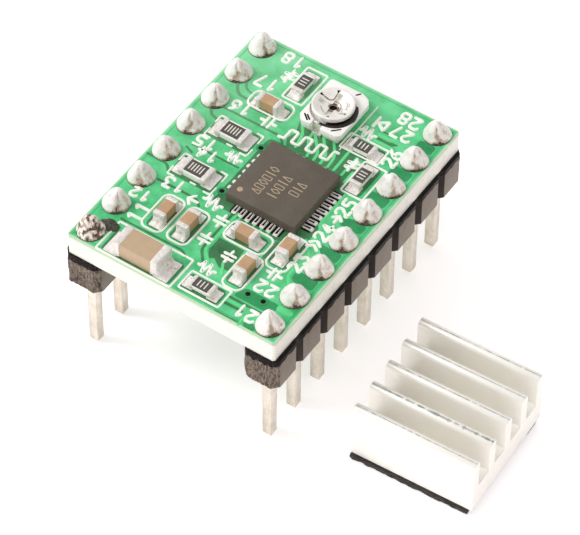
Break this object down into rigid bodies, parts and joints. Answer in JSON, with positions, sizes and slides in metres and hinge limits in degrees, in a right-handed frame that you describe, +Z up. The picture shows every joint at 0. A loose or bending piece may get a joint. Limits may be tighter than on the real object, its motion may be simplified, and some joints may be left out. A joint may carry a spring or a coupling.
{
  "type": "stepper driver module",
  "caption": "Two-row plug-in carrier board with a stepper motor driver chip, a current trimmer and a separate stick-on finned heatsink.",
  "frame": {"origin": "middle of the circuit board's underside, midway between the two pin rows", "axes": "+Z up, away from the pins; +X across the rows, towards the heatsink's side; +Y along the rows, towards the trimmer's end"},
  "size_m": [0.0272, 0.02, 0.0114],
  "materials": {
    "solder_mask": "green solder mask over copper, semi-gloss, on glass-epoxy laminate",
    "header_plastic": "black moulded plastic, satin, broken at the strip ends",
    "tinned_brass": "tin plated, bright",
    "solder": "bright reflowed solder",
    "epoxy_mould": "warm grey moulding compound, fine matt grain",
    "copper": "copper lead frame paddle",
    "silicon": "polished silicon",
    "capacitor_ceramic": "tan ceramic with tinned end caps",
    "resistor_glaze": "dark glaze on white alumina with tinned end caps",
    "alumina": "white ceramic",
    "plated_steel": "bright plated sheet metal",
    "carbon_film": "black resistive film",
    "aluminium": "extruded, clear anodised, sawn ends",
    "thermal_foam": "black thermal adhesive pad"
  },
  "bodies": {
    "board_assembly": {"circuit_board": "solder_mask", "header_insulator_left": "header_plastic", "header_insulator_right": "header_plastic", "pin_left_1": "tinned_brass", "pin_left_2": "tinned_brass", "pin_left_3": "tinned_brass", "pin_left_4": "tinned_brass", "pin_left_5": "tinned_brass", "pin_left_6": "tinned_brass", "pin_left_7": "tinned_brass", "pin_left_8": "tinned_brass", "pin_right_1": "tinned_brass", "pin_right_2": "tinned_brass", "pin_right_3": "tinned_brass", "pin_right_4": "tinned_brass", "pin_right_5": "tinned_brass", "pin_right_6": "tinned_brass", "pin_right_7": "tinned_brass", "pin_right_8": "tinned_brass", "solder_left_1": "solder", "solder_left_2": "solder", "solder_left_3": "solder", "solder_left_4": "solder", "solder_left_5": "solder", "solder_left_6": "solder", "solder_left_7": "solder", "solder_left_8": "solder", "solder_right_1": "solder", "solder_right_2": "solder", "solder_right_3": "solder", "solder_right_4": "solder", "solder_right_5": "solder", "solder_right_6": "solder", "solder_right_7": "solder", "solder_right_8": "solder", "driver_chip_mould": "epoxy_mould", "driver_chip_thermal_pad": "copper", "driver_chip_die": "silicon", "capacitor_input_bulk": "capacitor_ceramic", "capacitor_1": "capacitor_ceramic", "capacitor_2": "capacitor_ceramic", "capacitor_3": "capacitor_ceramic", "capacitor_4": "capacitor_ceramic", "capacitor_5": "capacitor_ceramic", "capacitor_6": "capacitor_ceramic", "resistor_sense_1": "resistor_glaze", "resistor_sense_2": "resistor_glaze", "resistor_1": "resistor_glaze", "resistor_2": "resistor_glaze", "resistor_3": "resistor_glaze", "resistor_4": "resistor_glaze", "trimmer_base": "alumina", "trimmer_wiper_terminal": "plated_steel", "trimmer_end_terminal_left": "plated_steel", "trimmer_end_terminal_right": "plated_steel", "trimmer_track": "carbon_film"},
    "trimmer_rotor": {"trimmer_rotor": "plated_steel"},
    "heatsink": {"heatsink": "aluminium", "heatsink_pad": "thermal_foam"}
  },
  "joints": [
    {"name": "trimmer_turn", "type": "hinge", "parent": "board_assembly", "child": "trimmer_rotor", "pos_m": [0.0005, 0.00642, 0.0026], "axis": [0, 0, 1], "range_deg": [-130, 130]},
    {"name": "heatsink_lift", "type": "slide", "parent": "board_assembly", "child": "heatsink", "axis": [0, 0, 1], "range_m": [0, 0.025]}
  ]
}
